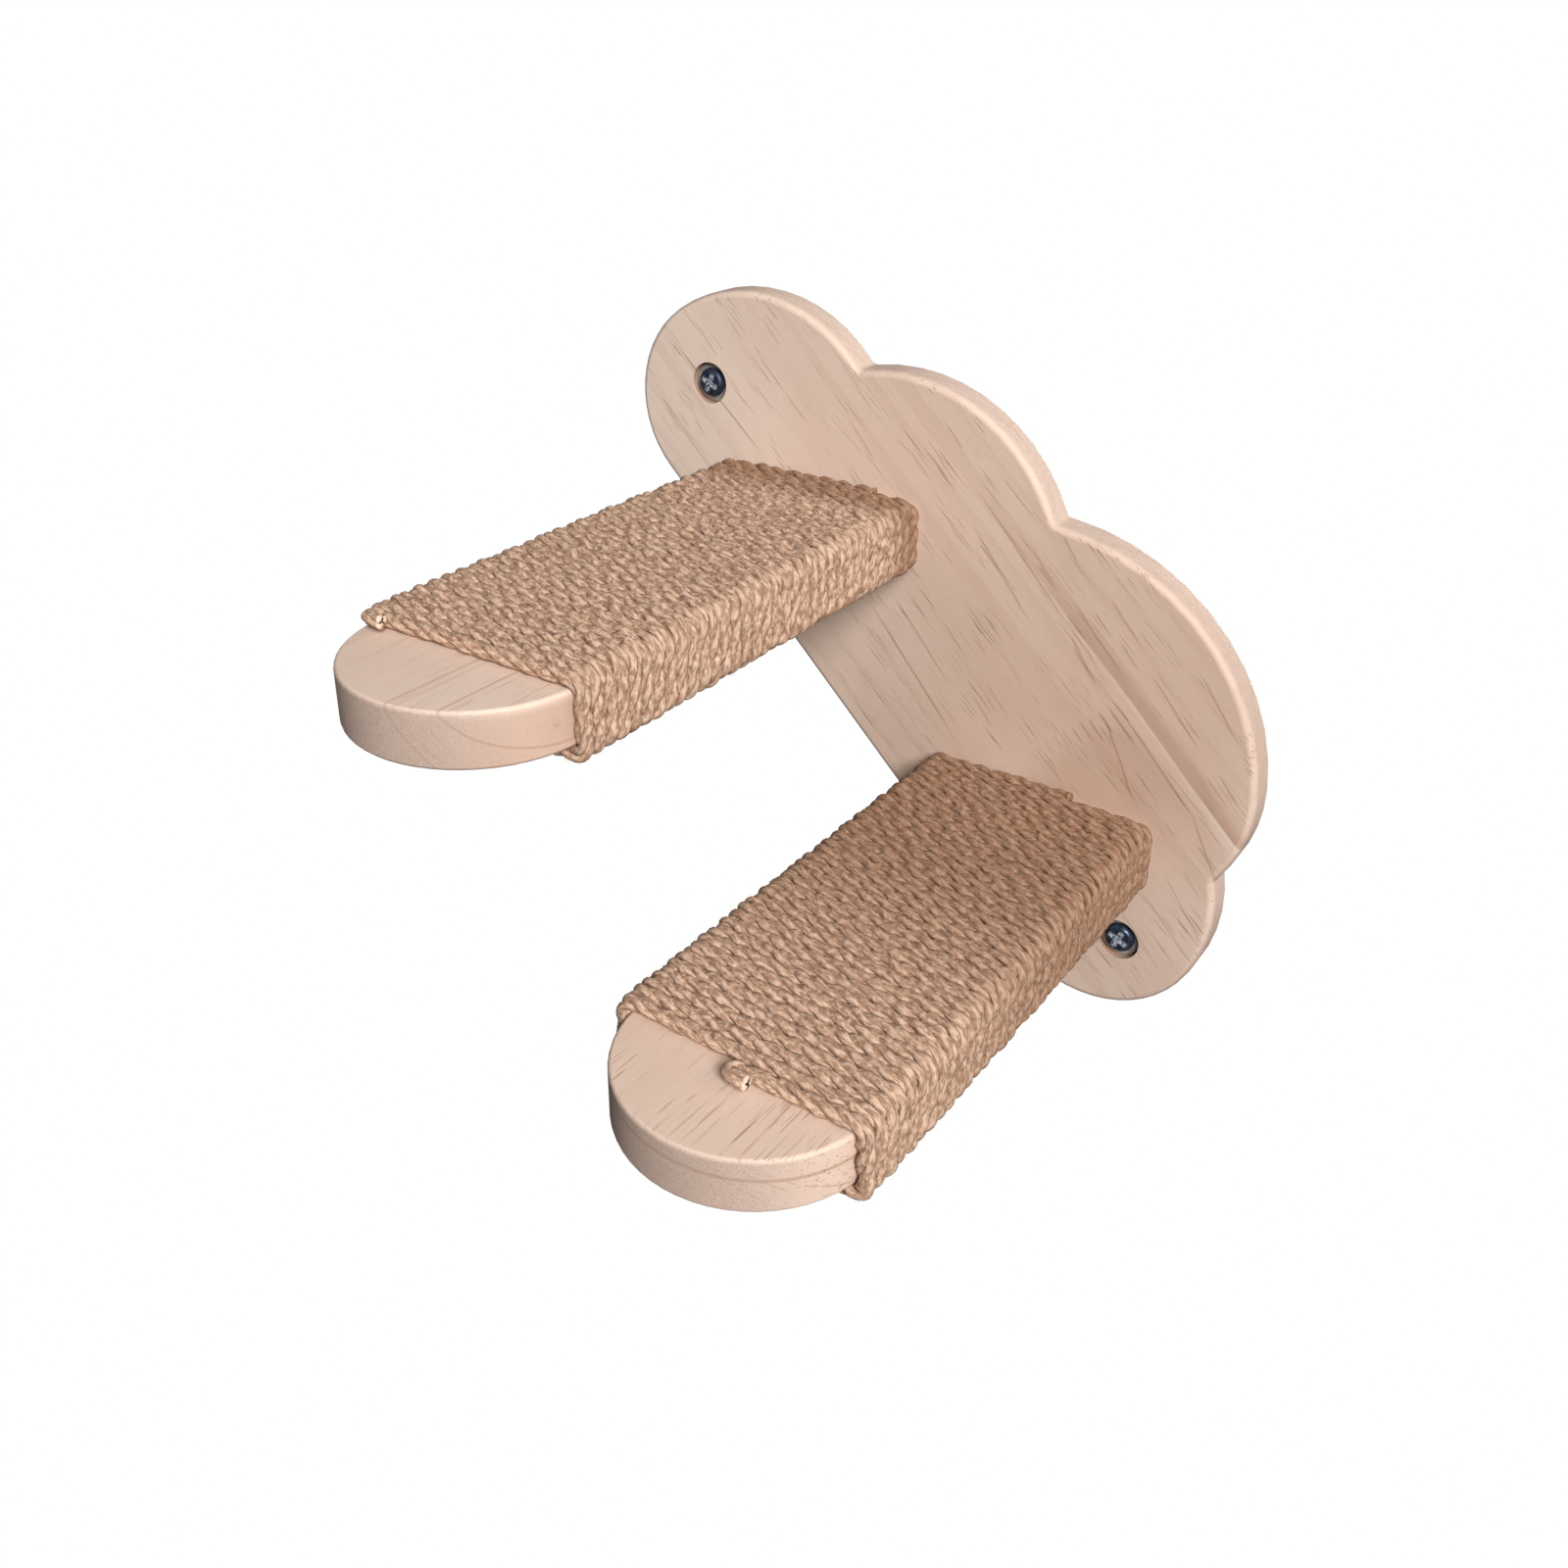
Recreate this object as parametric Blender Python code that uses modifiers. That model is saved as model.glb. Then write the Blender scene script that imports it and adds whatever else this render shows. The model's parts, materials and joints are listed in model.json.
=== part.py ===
"""Wall-mounted cat ladder: a cloud-shaped pine plate carrying two plank steps wound with jute rope.

Metres, +Z up. The plate's back lies in the plane y = 0, against the wall, and the steps reach out
along -Y. The origin is on the plate's back, midway between the two wall screws.
"""

import bmesh
import bpy
from math import atan2, ceil, cos, floor, hypot, pi, radians, sin, sqrt
from mathutils import Vector

# Fits
SEAT_GAP = 0.0003
TURN_GAP = 0.00035

# Plate: a cloud of two equal end lobes and two humps over one straight edge, hung at a slant
PLATE_THICKNESS = 0.015
PLATE_SLANT = radians(44)
PLATE_EDGE_RADIUS = 0.004
END_RADIUS = 0.0465
END_CENTRE_RIGHT = Vector((0.1264, -0.0007))
END_CENTRE_LEFT = Vector((-0.1328, -0.0007))
SHOULDER_RADIUS = 0.0695
SHOULDER_START = radians(12)
LOW_HUMP_RADIUS = 0.0775
LOW_HUMP_CENTRE = Vector((-0.0374, 0.0212))
HIGH_HUMP_RADIUS = 0.096
HIGH_HUMP_CENTRE = Vector((0.0564, 0.0187))
HIGH_HUMP_END_RADIUS = 0.063
HIGH_HUMP_END_START = radians(47)
NOTCH_RADIUS = 0.003
OUTLINE_TURN = radians(7.5)
NOTCH_TURN = radians(25)

# Steps: two equal planks, the lower one a run to the side and a drop below the upper one
STEP_WIDTH = 0.090
STEP_THICKNESS = 0.020
STEP_STRAIGHT = 0.2025
STEP_EDGE_RADIUS = 0.0015
UPPER_STEP_X = -0.045
UPPER_STEP_Z = 0.0555
STEP_RUN = 0.110
STEP_DROP = 0.110
TIP_POINTS = 28

# Rope: one length wound round each step from the plate towards the tip. It starts to the right of
# the step's middle and ends an inset from its left side, where its thinner tail folds back to lie
# in front of the last turn.
ROPE_DIAMETER = 0.0056
UPPER_WOUND_LENGTH = 0.2075
LOWER_WOUND_LENGTH = 0.2120
UPPER_ROPE_START = 0.027
UPPER_END_INSET = 0.005
LOWER_ROPE_START = 0.014
LOWER_END_INSET = 0.049
TAIL_LENGTH = 0.0045
TAIL_THICKNESS = 0.0042
TAIL_TAPER = 0.005
FOLD_POINTS = 4
CORNER_POINTS = 2

# Wall screws: pan heads on washers, sunk in counterbores at the two ends of the plate
WALL_SCREW_SPACING = 0.290
COUNTERBORE_RADIUS = 0.009
COUNTERBORE_DEPTH = 0.0045
WASHER_RADIUS = 0.0085
WASHER_THICKNESS = 0.0012
WALL_HEAD_RADIUS = 0.00625
WALL_HEAD_HEIGHT = 0.003
WALL_HEAD_RIM = 0.3
WALL_SHANK_RADIUS = 0.0025
WALL_SCREW_LENGTH = 0.050
CLEARANCE_HOLE_RADIUS = 0.003
DOME_POINTS = 5

# Fixing screws: countersunk in the plate's back, driven into the end grain of each step, an inset
# from its two sides
FIXING_HEAD_RADIUS = 0.004
FIXING_SHANK_RADIUS = 0.002
FIXING_SCREW_LENGTH = 0.050
FIXING_SCREW_INSET = 0.015
SCREW_POINT_LENGTH = 0.004

# Dowels: glued half in the plate and half in the step, spaced from the fixing screws
DOWEL_RADIUS = 0.004
DOWEL_IN_PLATE = 0.010
DOWEL_IN_STEP = 0.020
DOWEL_CHAMFER = 0.001
DOWEL_SPACING = 0.018

# Cross recesses: each arm's reach and its width as shares of the head's radius, and how far the
# arms narrow and thin towards the bottom
RECESS_REACH = 0.57
RECESS_WIDTH = 0.2
RECESS_DEPTH = 0.0018
RECESS_NARROWING = 0.45
RECESS_THINNING = 0.8
RECESS_TURN = radians(20)

BIG_ROUND_STEPS = 24
SMALL_ROUND_STEPS = 12
RIM_SEGMENTS = 3
CUTTER_REACH = 0.002
WELD_DISTANCE = 0.00001


def clear_scene():
    for obj in list(bpy.data.objects):
        bpy.data.objects.remove(obj, do_unlink=True)


def new_collection(name, hidden=False):
    found = bpy.data.collections.new(name)
    found.hide_render = hidden
    bpy.context.scene.collection.children.link(found)
    return found


def new_material(name, colour, roughness, metallic=0.0):
    made = bpy.data.materials.new(name)
    made.use_nodes = True
    shader = made.node_tree.nodes["Principled BSDF"]
    shader.inputs["Base Color"].default_value = (*colour, 1.0)
    shader.inputs["Roughness"].default_value = roughness
    shader.inputs["Metallic"].default_value = metallic
    return made


def new_frame(name, collection, location=(0, 0, 0), rotation=(0, 0, 0)):
    """An empty that carries the pieces placed in its own axes."""
    frame = bpy.data.objects.new(name, None)
    frame.location = location
    frame.rotation_euler = rotation
    collection.objects.link(frame)
    return frame


def add_piece(name, data, collection, parent, location=(0, 0, 0), rotation=(0, 0, 0)):
    piece = bpy.data.objects.new(name, data)
    piece.parent = parent
    piece.location = location
    piece.rotation_euler = rotation
    collection.objects.link(piece)
    return piece


def arc(centre, radius, start, end, turn=OUTLINE_TURN):
    """Points on a circle from one angle to another, both ends included."""
    count = max(1, ceil(abs(end - start) / turn))
    angles = [start + (end - start) * i / count for i in range(count + 1)]
    return [centre + radius * Vector((cos(a), sin(a))) for a in angles]


def notch_centre(left, left_radius, right, right_radius):
    """Centre of the small circle that touches two lobes from above, in the notch between them."""
    a = left_radius + NOTCH_RADIUS
    b = right_radius + NOTCH_RADIUS
    across = right - left
    distance = across.length
    along = (a * a - b * b + distance * distance) / (2 * distance)
    rise = sqrt(a * a - along * along)
    side = Vector((-across.y, across.x)) / distance
    return left + across * (along / distance) + side * rise


def angle_to(origin, point):
    return atan2(point.y - origin.y, point.x - origin.x)


def cloud_outline():
    """The plate's outline, clockwise from the left end of its straight edge.

    Each arc runs smoothly into the next one at the angle beside it, or else down into a notch.
    """
    inset = SHOULDER_RADIUS - END_RADIUS
    reach = Vector((inset * cos(SHOULDER_START), inset * sin(SHOULDER_START)))
    left_shoulder = END_CENTRE_LEFT + Vector((reach.x, -reach.y))
    right_shoulder = END_CENTRE_RIGHT - reach
    step_in = HIGH_HUMP_RADIUS - HIGH_HUMP_END_RADIUS
    towards_end = Vector((cos(HIGH_HUMP_END_START), sin(HIGH_HUMP_END_START)))
    arcs = [
        (left_shoulder, SHOULDER_RADIUS, None),
        (LOW_HUMP_CENTRE, LOW_HUMP_RADIUS, None),
        (HIGH_HUMP_CENTRE, HIGH_HUMP_RADIUS, HIGH_HUMP_END_START),
        (HIGH_HUMP_CENTRE + towards_end * step_in, HIGH_HUMP_END_RADIUS, None),
        (right_shoulder, SHOULDER_RADIUS, SHOULDER_START),
        (END_CENTRE_RIGHT, END_RADIUS, -0.5 * pi),
    ]
    start = pi - SHOULDER_START
    points = arc(END_CENTRE_LEFT, END_RADIUS, 1.5 * pi, start)
    for number, (centre, radius, end) in enumerate(arcs):
        if end is not None:
            points += arc(centre, radius, start, end)[1:]
            start = end
            continue
        following, following_radius, _ = arcs[number + 1]
        notch = notch_centre(centre, radius, following, following_radius)
        points += arc(centre, radius, start, angle_to(centre, notch))[1:]
        bottom_left = angle_to(notch, centre)
        bottom_right = angle_to(notch, following)
        points += arc(notch, NOTCH_RADIUS, bottom_left, bottom_right, NOTCH_TURN)[1:]
        start = angle_to(following, notch)
    return points


def plank_outline():
    """A step's outline: square at the root, straight sides and a half-round tip, towards -Y."""
    half = STEP_WIDTH / 2
    root = -SEAT_GAP
    tip = arc(Vector((0, -STEP_STRAIGHT)), half, 0, -pi, pi / TIP_POINTS)
    return [Vector((half, root)), *tip, Vector((-half, root))]


def board_mesh(name, outline, thickness):
    """A flat board cut to the outline, its two faces at half a thickness above and below."""
    curve = bpy.data.curves.new(name, "CURVE")
    curve.dimensions = "2D"
    curve.fill_mode = "BOTH"
    curve.extrude = thickness / 2
    spline = curve.splines.new("POLY")
    spline.points.add(len(outline) - 1)
    for point, place in zip(spline.points, outline):
        point.co = (place.x, place.y, 0, 1)
    spline.use_cyclic_u = True
    holder = bpy.data.objects.new(name, curve)
    bpy.context.scene.collection.objects.link(holder)
    graph = bpy.context.evaluated_depsgraph_get()
    mesh = bpy.data.meshes.new_from_object(holder.evaluated_get(graph))
    bpy.data.objects.remove(holder)
    bpy.data.curves.remove(curve)
    mesh.name = name
    shape = bmesh.new()
    shape.from_mesh(mesh)
    bmesh.ops.remove_doubles(shape, verts=shape.verts, dist=WELD_DISTANCE)
    bmesh.ops.dissolve_limit(
        shape, angle_limit=radians(0.5), verts=shape.verts, edges=shape.edges
    )
    bmesh.ops.recalc_face_normals(shape, faces=shape.faces)
    shape.to_mesh(mesh)
    shape.free()
    return mesh


def round_rims(board, radius, is_rim):
    """Rounds the edges of a board whose two ends both pass the test."""
    mesh = board.data
    weights = mesh.attributes.new("bevel_weight_edge", "FLOAT", "EDGE")
    for edge in mesh.edges:
        a, b = (mesh.vertices[i].co for i in edge.vertices)
        same_face = abs(a.z - b.z) < WELD_DISTANCE
        weights.data[edge.index].value = float(same_face and is_rim(a, b))
    bevel = board.modifiers.new("rounded rims", "BEVEL")
    bevel.limit_method = "WEIGHT"
    bevel.width = radius
    bevel.segments = RIM_SEGMENTS
    mesh.shade_smooth()
    mesh.set_sharp_from_angle(angle=radians(30))


def turned(name, profile, collection, parent, location, rotation, steps, closed=False):
    """A piece turned about its local Z from (radius, height) points given from top to bottom."""
    mesh = bpy.data.meshes.new(name)
    edges = [(i, i + 1) for i in range(len(profile) - 1)]
    if closed:
        edges.append((len(profile) - 1, 0))
    mesh.from_pydata([(radius, 0, height) for radius, height in profile], edges, [])
    piece = add_piece(name, mesh, collection, parent, location, rotation)
    screw = piece.modifiers.new("turn", "SCREW")
    screw.steps = steps
    screw.render_steps = steps
    screw.use_merge_vertices = True
    screw.merge_threshold = WELD_DISTANCE
    screw.use_smooth_shade = False
    return piece


def make_cutter(piece):
    piece.hide_render = True
    piece.display_type = "WIRE"
    return piece


def cut(piece, cutter):
    boolean = piece.modifiers.new(cutter.name, "BOOLEAN")
    boolean.operation = "DIFFERENCE"
    boolean.solver = "EXACT"
    boolean.object = cutter


def cut_cross_recess(screw, cutters, head_radius, face, outwards):
    """Cuts a cross for the driver: two tapered blades at right angles, sunk from the head's face."""
    for number in range(2):
        shape = bmesh.new()
        bmesh.ops.create_cube(shape, size=2.0)
        for corner in shape.verts:
            inner = corner.co.z * outwards < 0
            corner.co.x *= head_radius * RECESS_REACH * (RECESS_NARROWING if inner else 1)
            corner.co.y *= head_radius * RECESS_WIDTH / 2 * (RECESS_THINNING if inner else 1)
            corner.co.z *= RECESS_DEPTH
        mesh = bpy.data.meshes.new(f"{screw.name}_blade_{number}")
        shape.to_mesh(mesh)
        shape.free()
        turn = (0, 0, RECESS_TURN + radians(90) * number)
        blade = add_piece(mesh.name, mesh, cutters, screw, (0, 0, face), turn)
        cut(screw, make_cutter(blade))


def wall_screw(name, side, parts, cutters, plate_frame, plate, steel, zinc):
    """A pan-head screw on its washer in a counterbore, in the plate's own axes."""
    place = (side * WALL_SCREW_SPACING / 2, 0, 0)
    still = (0, 0, 0)
    floor_height = PLATE_THICKNESS - COUNTERBORE_DEPTH
    hole = turned(
        f"{name}_hole",
        [
            (0, PLATE_THICKNESS + CUTTER_REACH),
            (COUNTERBORE_RADIUS, PLATE_THICKNESS + CUTTER_REACH),
            (COUNTERBORE_RADIUS, floor_height),
            (CLEARANCE_HOLE_RADIUS, floor_height),
            (CLEARANCE_HOLE_RADIUS, -CUTTER_REACH),
            (0, -CUTTER_REACH),
        ],
        cutters,
        plate_frame,
        place,
        still,
        BIG_ROUND_STEPS,
    )
    cut(plate, make_cutter(hole))

    washer_bottom = floor_height + SEAT_GAP
    washer_top = washer_bottom + WASHER_THICKNESS
    washer = turned(
        f"{name}_washer",
        [
            (CLEARANCE_HOLE_RADIUS, washer_top),
            (WASHER_RADIUS, washer_top),
            (WASHER_RADIUS, washer_bottom),
            (CLEARANCE_HOLE_RADIUS, washer_bottom),
        ],
        parts,
        plate_frame,
        place,
        still,
        BIG_ROUND_STEPS,
        closed=True,
    )
    washer.data.materials.append(zinc)

    seat = washer_top + SEAT_GAP
    rim = WALL_HEAD_HEIGHT * WALL_HEAD_RIM
    dome = [
        (WALL_HEAD_RADIUS * sin(t), seat + rim + (WALL_HEAD_HEIGHT - rim) * cos(t))
        for t in (0.5 * pi * i / DOME_POINTS for i in range(DOME_POINTS + 1))
    ]
    point = seat - WALL_SCREW_LENGTH
    screw = turned(
        name,
        [
            *dome,
            (WALL_HEAD_RADIUS, seat),
            (WALL_SHANK_RADIUS, seat),
            (WALL_SHANK_RADIUS, point + SCREW_POINT_LENGTH),
            (0, point),
        ],
        parts,
        plate_frame,
        place,
        still,
        BIG_ROUND_STEPS,
    )
    screw.data.materials.append(steel)
    cut_cross_recess(screw, cutters, WALL_HEAD_RADIUS, seat + WALL_HEAD_HEIGHT, 1)


def fixing_profile(extra):
    """A countersunk screw's outline from its point to its head, or its hole when made larger."""
    head = FIXING_HEAD_RADIUS + extra
    shank = FIXING_SHANK_RADIUS + extra
    head_face = SEAT_GAP
    neck = head_face + FIXING_HEAD_RADIUS - FIXING_SHANK_RADIUS
    end = head_face + FIXING_SCREW_LENGTH + extra
    mouth = -CUTTER_REACH if extra else head_face
    return [
        (0, end),
        (shank, end - SCREW_POINT_LENGTH),
        (shank, neck),
        (head, head_face),
        *([(head, mouth)] if extra else []),
        (0, mouth),
    ]


def dowel_profile(extra):
    """A dowel's outline from the step's end to the plate's, or its hole when made larger."""
    radius = DOWEL_RADIUS + extra
    top = PLATE_THICKNESS + DOWEL_IN_STEP + extra
    bottom = PLATE_THICKNESS - DOWEL_IN_PLATE - extra
    if extra:
        return [(0, top), (radius, top), (radius, bottom), (0, bottom)]
    return [
        (0, top),
        (radius - DOWEL_CHAMFER, top),
        (radius, top - DOWEL_CHAMFER),
        (radius, bottom + DOWEL_CHAMFER),
        (radius - DOWEL_CHAMFER, bottom),
        (0, bottom),
    ]


def fasten_step(name, parts, cutters, frame, plate, board, steel, beech):
    """Two screws and two dowels that hold a step against the plate, and their holes in both."""
    outwards = (radians(90), 0, 0)
    screw_offset = STEP_WIDTH / 2 - FIXING_SCREW_INSET
    dowel_offset = screw_offset - DOWEL_SPACING
    for word, side in (("left", -1), ("right", 1)):
        screw_place = (side * screw_offset, PLATE_THICKNESS, 0)
        dowel_place = (side * dowel_offset, PLATE_THICKNESS, 0)
        holes = [
            turned(
                f"{name}_{kind}_hole_{word}",
                profile(SEAT_GAP),
                cutters,
                frame,
                place,
                outwards,
                SMALL_ROUND_STEPS,
            )
            for kind, profile, place in (
                ("screw", fixing_profile, screw_place),
                ("dowel", dowel_profile, dowel_place),
            )
        ]
        for hole in holes:
            make_cutter(hole)
            cut(plate, hole)
            cut(board, hole)
        screw = turned(
            f"{name}_fixing_screw_{word}",
            fixing_profile(0),
            parts,
            frame,
            screw_place,
            outwards,
            SMALL_ROUND_STEPS,
        )
        screw.data.materials.append(steel)
        cut_cross_recess(screw, cutters, FIXING_HEAD_RADIUS, SEAT_GAP, -1)
        dowel = turned(
            f"{name}_dowel_{word}",
            dowel_profile(0),
            parts,
            frame,
            dowel_place,
            outwards,
            SMALL_ROUND_STEPS,
        )
        dowel.data.materials.append(beech)


def half_width_at(distance):
    """Half the plank's width at a distance from the plate, less where the tip rounds off."""
    past = max(0.0, distance - STEP_STRAIGHT)
    half = STEP_WIDTH / 2
    return sqrt(max(half * half - past * past, 0.0))


def loop_corners(half_width):
    """One turn's corner points as (x, z), from the top going left, down, right and up again.

    They stand on the lines that touch the rope's bend from outside, so the rope clears the plank.
    """
    bend = STEP_EDGE_RADIUS + SEAT_GAP + ROPE_DIAMETER / 2
    step = radians(90) / CORNER_POINTS
    out = bend / cos(step / 2)
    half_height = STEP_THICKNESS / 2
    corners = []
    for i in range(4 * CORNER_POINTS):
        angle = radians(90) + step * (i + 0.5)
        across = half_width - STEP_EDGE_RADIUS
        up = half_height - STEP_EDGE_RADIUS
        centre_x = across if cos(angle) > 0 else -across
        centre_z = up if sin(angle) > 0 else -up
        corners.append((centre_x + out * cos(angle), centre_z + out * sin(angle)))
    return corners


def winding_path(wound_length, start_x, end_x):
    """The rope's route in the step's axes, from its start on top beside the plate to its tail.

    Each place on it comes with the rope's thickness there.
    """
    pitch = ROPE_DIAMETER + TURN_GAP
    first = SEAT_GAP + ROPE_DIAMETER / 2
    top = STEP_THICKNESS / 2 + SEAT_GAP + ROPE_DIAMETER / 2
    loop = loop_corners(STEP_WIDTH / 2)
    around = [(start_x, top), *loop, (start_x, top)]
    travelled = [0.0]
    for (x1, z1), (x2, z2) in zip(around, around[1:]):
        travelled.append(travelled[-1] + hypot(x2 - x1, z2 - z1))
    perimeter = travelled[-1]
    last_part = (start_x - end_x) / perimeter
    full_turns = floor((wound_length - ROPE_DIAMETER) / pitch - last_part + 0.5)
    path = [(Vector((start_x, -first, top)), ROPE_DIAMETER)]
    for turn in range(full_turns):
        for i in range(len(loop)):
            distance = first + pitch * (turn + travelled[i + 1] / perimeter)
            x, z = loop_corners(half_width_at(distance))[i]
            path.append((Vector((x, -distance, z)), ROPE_DIAMETER))
    distance = first + pitch * (full_turns + last_part)
    path.append((Vector((end_x + TAIL_TAPER, -distance, top)), ROPE_DIAMETER))
    tail_height = STEP_THICKNESS / 2 + SEAT_GAP + TAIL_THICKNESS / 2
    bend = (ROPE_DIAMETER / 2 + TURN_GAP + TAIL_THICKNESS / 2) / 2
    for i in range(FOLD_POINTS + 1):
        angle = pi * i / FOLD_POINTS
        x = end_x - bend * sin(angle)
        y = -distance - bend * (1 - cos(angle))
        path.append((Vector((x, y, tail_height)), TAIL_THICKNESS))
    path.append((Vector((end_x + TAIL_LENGTH, y, tail_height)), TAIL_THICKNESS))
    return path


def rope_winding(name, path, collection, parent, material):
    curve = bpy.data.curves.new(name, "CURVE")
    curve.dimensions = "3D"
    curve.bevel_depth = ROPE_DIAMETER / 2
    curve.bevel_resolution = 2
    curve.use_fill_caps = True
    curve.materials.append(material)
    spline = curve.splines.new("POLY")
    spline.points.add(len(path) - 1)
    for point, (place, thickness) in zip(spline.points, path):
        point.co = (*place, 1)
        point.radius = thickness / ROPE_DIAMETER
    return add_piece(name, curve, collection, parent)


def build():
    clear_scene()
    parts = new_collection("cat_ladder")
    cutters = new_collection("cutters", hidden=True)
    pine = new_material("pine", (0.69, 0.53, 0.42), 0.55)
    beech = new_material("beech", (0.62, 0.42, 0.26), 0.6)
    jute = new_material("jute_rope", (0.41, 0.26, 0.16), 0.9)
    steel = new_material("blued_steel", (0.05, 0.06, 0.08), 0.3, 1.0)
    zinc = new_material("zinc_plate", (0.40, 0.40, 0.38), 0.4, 1.0)

    plate_frame = new_frame(
        "plate_frame", parts, rotation=(radians(90), PLATE_SLANT, 0)
    )
    plate = add_piece(
        "back_plate",
        board_mesh("back_plate", cloud_outline(), PLATE_THICKNESS),
        parts,
        plate_frame,
        location=(0, 0, PLATE_THICKNESS / 2),
    )
    plate.data.materials.append(pine)
    round_rims(plate, PLATE_EDGE_RADIUS, lambda a, b: True)
    for word, side in (("upper", -1), ("lower", 1)):
        wall_screw(
            f"{word}_wall_screw", side, parts, cutters, plate_frame, plate, steel, zinc
        )

    steps = (
        ("upper_step", 0, UPPER_WOUND_LENGTH, UPPER_ROPE_START, UPPER_END_INSET),
        ("lower_step", 1, LOWER_WOUND_LENGTH, LOWER_ROPE_START, LOWER_END_INSET),
    )
    for name, down, wound_length, start_x, end_inset in steps:
        x = UPPER_STEP_X + down * STEP_RUN
        z = UPPER_STEP_Z - down * STEP_DROP
        frame = new_frame(f"{name}_frame", parts, location=(x, -PLATE_THICKNESS, z))
        board = add_piece(
            f"{name}_board",
            board_mesh(f"{name}_board", plank_outline(), STEP_THICKNESS),
            parts,
            frame,
        )
        board.data.materials.append(pine)
        root = -SEAT_GAP - WELD_DISTANCE
        round_rims(board, STEP_EDGE_RADIUS, lambda a, b: min(a.y, b.y) < root)
        fasten_step(name, parts, cutters, frame, plate, board, steel, beech)
        path = winding_path(wound_length, start_x, end_inset - STEP_WIDTH / 2)
        rope_winding(f"{name}_rope", path, parts, frame, jute)


build()
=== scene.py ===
"""Wall-mounted cat ladder: the finish of its pine, rope and screws, and the studio for its picture.

Metres, +Z up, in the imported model's own frame: the plate's back is the plane y = 0 and the steps
reach out along -Y. The sections follow the ladder as it is put together.
"""

import json
from math import ceil, cos, floor, hypot, pi, radians, sin, sqrt

import bpy
import numpy as np
from mathutils import Matrix, Vector

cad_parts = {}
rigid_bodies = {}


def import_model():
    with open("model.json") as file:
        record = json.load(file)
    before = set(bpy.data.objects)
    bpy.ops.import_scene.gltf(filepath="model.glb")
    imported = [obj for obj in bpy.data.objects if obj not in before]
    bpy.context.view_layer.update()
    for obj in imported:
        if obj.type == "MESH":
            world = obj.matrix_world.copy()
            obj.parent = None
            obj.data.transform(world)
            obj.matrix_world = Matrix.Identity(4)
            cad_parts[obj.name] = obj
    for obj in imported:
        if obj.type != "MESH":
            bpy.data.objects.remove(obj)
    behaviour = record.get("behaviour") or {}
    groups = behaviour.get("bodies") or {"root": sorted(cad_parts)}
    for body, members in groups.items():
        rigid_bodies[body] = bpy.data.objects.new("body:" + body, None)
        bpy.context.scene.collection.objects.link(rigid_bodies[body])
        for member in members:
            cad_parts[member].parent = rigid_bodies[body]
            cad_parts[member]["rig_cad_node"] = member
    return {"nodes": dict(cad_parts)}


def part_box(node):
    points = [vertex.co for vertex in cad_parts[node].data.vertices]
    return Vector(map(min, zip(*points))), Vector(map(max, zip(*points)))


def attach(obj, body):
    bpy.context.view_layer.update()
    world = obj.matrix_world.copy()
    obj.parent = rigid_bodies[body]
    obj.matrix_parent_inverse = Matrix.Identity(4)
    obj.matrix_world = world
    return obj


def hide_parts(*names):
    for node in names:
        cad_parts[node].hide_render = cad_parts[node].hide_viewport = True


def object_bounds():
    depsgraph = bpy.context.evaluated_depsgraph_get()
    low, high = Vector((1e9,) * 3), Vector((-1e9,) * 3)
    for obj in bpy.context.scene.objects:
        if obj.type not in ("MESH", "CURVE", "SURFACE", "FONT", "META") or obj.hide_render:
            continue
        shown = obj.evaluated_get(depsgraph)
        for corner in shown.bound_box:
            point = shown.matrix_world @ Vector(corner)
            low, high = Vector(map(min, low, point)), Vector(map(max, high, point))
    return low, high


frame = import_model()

cad_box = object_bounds()

# Back plate. Pine staves glued edge to edge, one of them finger-jointed end to end, planed and
# sawn to a cloud. Both rims are rounded over with a router and the faces sanded, without varnish.
# It hangs at a slant, with the grain along its straight edge.
PLATE_SLANT = radians(44)
PLATE_TURN = (radians(90), PLATE_SLANT, 0)
MERGE_DISTANCE = 0.00001
FLAT_WITHIN = radians(0.3)
SMOOTH_BELOW = radians(35)
MILLIMETRES = 1000


def select_only(*chosen):
    bpy.ops.object.select_all(action="DESELECT")
    for piece in chosen:
        piece.select_set(True)
    bpy.context.view_layer.objects.active = chosen[0]


def apply_modifier(piece, kind, **settings):
    """Adds a modifier with these settings and applies it at once."""
    select_only(piece)
    modifier = piece.modifiers.new(kind, kind)
    for name, value in settings.items():
        setattr(modifier, name, value)
    bpy.ops.object.modifier_apply(modifier=modifier.name)


def sanded_board(node, name):
    """A copy of a board as it was cut, merged into one skin whose rounded rims are smooth."""
    select_only(frame["nodes"][node])
    bpy.ops.object.duplicate()
    board = bpy.context.active_object
    board.name = name
    del board["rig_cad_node"]
    bpy.ops.mesh.customdata_custom_splitnormals_clear()
    bpy.ops.object.mode_set(mode="EDIT")
    bpy.ops.mesh.select_all(action="SELECT")
    bpy.ops.mesh.remove_doubles(threshold=MERGE_DISTANCE)
    bpy.ops.mesh.dissolve_limited(angle_limit=FLAT_WITHIN)
    bpy.ops.object.mode_set(mode="OBJECT")
    bpy.ops.object.shade_smooth_by_angle(angle=SMOOTH_BELOW)
    apply_modifier(board, "WEIGHTED_NORMAL", keep_sharp=True)
    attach(board, "root")
    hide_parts(node)
    return board


def colour(red, green, blue):
    """A colour as it looks, each part from 0 to 255, in the linear values that nodes take."""
    return (*(((part / 255 + 0.055) / 1.055) ** 2.4 for part in (red, green, blue)), 1.0)


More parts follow.
